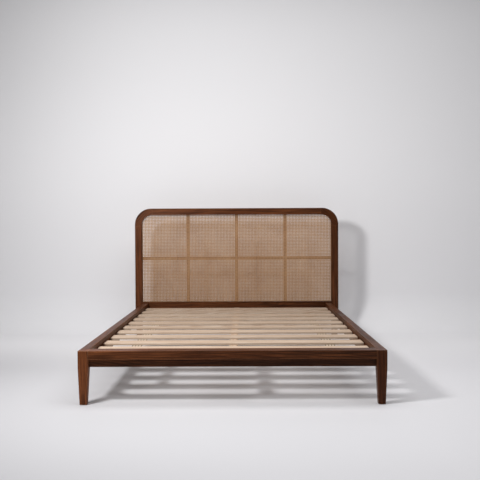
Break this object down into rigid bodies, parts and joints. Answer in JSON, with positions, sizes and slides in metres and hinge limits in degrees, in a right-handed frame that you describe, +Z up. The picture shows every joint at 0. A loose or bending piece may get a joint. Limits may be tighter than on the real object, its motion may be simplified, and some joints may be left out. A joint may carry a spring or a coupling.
{
  "type": "bed frame",
  "caption": "Low wooden bed frame on tapered legs, with spaced slats on side ledges, a centre beam and a tall headboard of woven cane in a round-cornered frame.",
  "frame": {"origin": "on the floor, under the middle of the whole bed's box", "axes": "+Z up, +Y from the foot end towards the headboard, +X to the right seen from the foot end"},
  "size_m": [1.75, 2.15, 1.102],
  "materials": {
    "frame_walnut": "satin oiled walnut with soft edges",
    "ledge_walnut": "plain sanded walnut-stained wood",
    "batten_walnut": "plain walnut battens behind the cane",
    "bead_walnut": "satin walnut bead",
    "slat_pine": "raw planed pine",
    "block_beech": "raw beech",
    "dowel_beech": "fluted beech dowel",
    "woven_cane": "natural open-weave rattan cane",
    "strap_webbing": "woven webbing with dark stripes",
    "hanger_steel": "black folded steel",
    "fastener_steel": "zinc-plated steel",
    "foot_steel": "zinc-plated steel pad and stud",
    "insert_brass": "plain brass insert",
    "foot_plastic": "dark nylon glide"
  },
  "bodies": {
    "frame": {"barrel_nuts": "fastener_steel", "batten_screws": "fastener_steel", "beam_hanger_foot": "hanger_steel", "beam_hanger_foot_screws": "fastener_steel", "beam_hanger_head": "hanger_steel", "beam_hanger_head_screws": "fastener_steel", "bed_bolts": "fastener_steel", "cane_beads": "bead_walnut", "cane_panel": "woven_cane", "centre_beam": "ledge_walnut", "centre_leg": "ledge_walnut", "centre_leg_bolt": "fastener_steel", "cleat_screws": "fastener_steel", "corner_block_left": "block_beech", "corner_block_right": "block_beech", "corner_block_screws": "fastener_steel", "foot_apron": "frame_walnut", "foot_glides": "foot_plastic", "foot_insert": "insert_brass", "foot_rail": "frame_walnut", "frame_dowels": "dowel_beech", "front_leg_left": "frame_walnut", "front_leg_right": "frame_walnut", "hanger_bolt_nuts": "fastener_steel", "hanger_bolt_washers": "fastener_steel", "hanger_bolts": "fastener_steel", "headboard_batten_centre": "batten_walnut", "headboard_batten_left": "batten_walnut", "headboard_batten_right": "batten_walnut", "headboard_corner_left": "frame_walnut", "headboard_corner_right": "frame_walnut", "headboard_cross_batten": "batten_walnut", "headboard_dowels": "dowel_beech", "headboard_lower_rail": "frame_walnut", "headboard_post_left": "frame_walnut", "headboard_post_right": "frame_walnut", "headboard_top_rail": "frame_walnut", "side_apron_left": "frame_walnut", "side_apron_right": "frame_walnut", "side_rail_left": "frame_walnut", "side_rail_right": "frame_walnut", "slat_01": "slat_pine", "slat_02": "slat_pine", "slat_03": "slat_pine", "slat_04": "slat_pine", "slat_05": "slat_pine", "slat_06": "slat_pine", "slat_07": "slat_pine", "slat_08": "slat_pine", "slat_09": "slat_pine", "slat_10": "slat_pine", "slat_cleat_left": "ledge_walnut", "slat_cleat_right": "ledge_walnut", "slat_screws": "fastener_steel", "slat_strap_left": "strap_webbing", "slat_strap_right": "strap_webbing", "strap_staples": "fastener_steel"},
    "levelling_foot": {"levelling_foot": "foot_steel"}
  },
  "joints": [
    {"name": "foot_screw", "type": "slide", "parent": "frame", "child": "levelling_foot", "axis": [0, 0, 1], "range_m": [0, 0.0115]}
  ]
}
